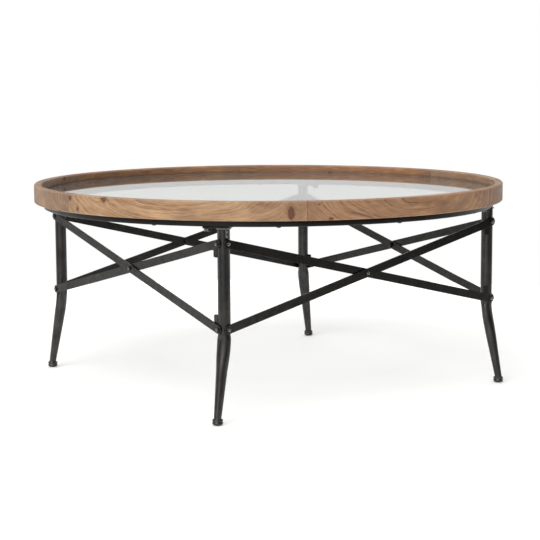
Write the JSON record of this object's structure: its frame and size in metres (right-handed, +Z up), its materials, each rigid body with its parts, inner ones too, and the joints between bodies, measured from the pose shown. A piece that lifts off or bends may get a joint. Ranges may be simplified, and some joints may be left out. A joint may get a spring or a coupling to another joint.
{
  "type": "tray top coffee table",
  "caption": "Round low table with a glass sheet set down inside a raised wooden rim, on a braced tubular steel base.",
  "frame": {"origin": "on the floor, under the middle of the top", "axes": "+Z up, the front leg at -Y and the right leg at +X"},
  "size_m": [1.075, 1.075, 0.45],
  "materials": {
    "wood": "brushed and oiled reclaimed softwood with knots, satin",
    "black_steel": "blackened steel under satin lacquer",
    "black_hardware": "blackened bolts, nuts and screws, a little shinier than the frame",
    "glass": "clear tempered float glass, ground edge"
  },
  "bodies": {
    "frame": {"rim_board_1": "wood", "rim_board_2": "wood", "rim_board_3": "wood", "rim_board_4": "wood", "rim_board_5": "wood", "rim_board_6": "wood", "rim_dowels": "wood", "ring_frame": "black_steel", "leg_front": "black_steel", "leg_right": "black_steel", "leg_back": "black_steel", "leg_left": "black_steel", "leg_plate_front": "black_steel", "leg_plate_right": "black_steel", "leg_plate_back": "black_steel", "leg_plate_left": "black_steel", "tabs_front": "black_steel", "tabs_right": "black_steel", "tabs_back": "black_steel", "tabs_left": "black_steel", "foot_front": "black_steel", "foot_right": "black_steel", "foot_back": "black_steel", "foot_left": "black_steel", "brace_front_left_outer": "black_steel", "brace_front_left_inner": "black_steel", "brace_front_right_outer": "black_steel", "brace_front_right_inner": "black_steel", "brace_back_right_outer": "black_steel", "brace_back_right_inner": "black_steel", "brace_back_left_outer": "black_steel", "brace_back_left_inner": "black_steel", "rim_screws": "black_hardware", "brace_bolts": "black_hardware", "brace_inserts": "black_hardware", "cross_bolts": "black_hardware", "cross_nuts": "black_hardware", "plate_bolts": "black_hardware", "plate_washers": "black_hardware"},
    "glass": {"glass_top": "glass"}
  },
  "joints": [
    {"name": "glass_lift", "type": "slide", "parent": "frame", "child": "glass", "axis": [0, 0, 1], "range_m": [0, 0.08]}
  ]
}
